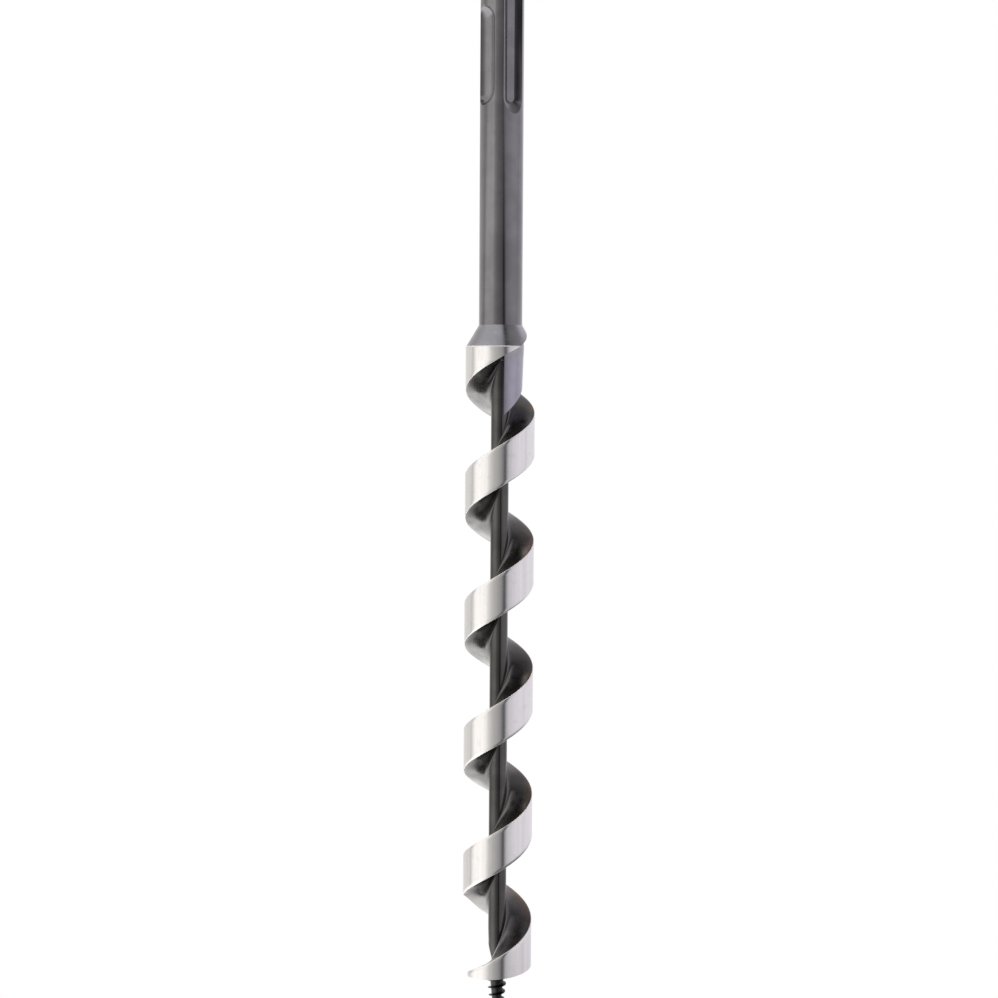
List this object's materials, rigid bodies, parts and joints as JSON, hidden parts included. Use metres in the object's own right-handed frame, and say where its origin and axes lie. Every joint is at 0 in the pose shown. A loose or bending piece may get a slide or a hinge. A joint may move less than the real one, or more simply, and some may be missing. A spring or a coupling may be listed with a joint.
{
  "type": "wood auger bit",
  "caption": "Solid-centre wood auger bit with a single right-hand flight, tapered screw point, cutting lip, cone shoulder and grooved round shank for a hammer drill.",
  "frame": {"origin": "centre of the shank's end face, where the hammer strikes", "axes": "+Z out of the shank's end face along the bit's axis, so the screw point is at the most negative Z; -Y is the side with the detent groove to its left and the drive slot to its right"},
  "size_m": [0.016, 0.016, 0.25],
  "materials": {
    "shank_steel": "satin machined steel, lightly oiled",
    "collar_steel": "turned satin steel",
    "neck_steel": "satin machined steel",
    "flute_steel": "dark oxide, semi-gloss",
    "land_steel": "ground bright on the land, dark oxide on the faces",
    "head_steel": "ground bright on the land and lip, dark oxide on the faces",
    "screw_steel": "black oxide"
  },
  "bodies": {
    "root": {"drive_shank": "shank_steel", "shoulder_collar": "collar_steel", "neck_root": "neck_steel", "centre_stem": "flute_steel", "spiral_flight": "land_steel", "cutting_head": "head_steel", "feed_screw": "screw_steel"}
  },
  "joints": []
}
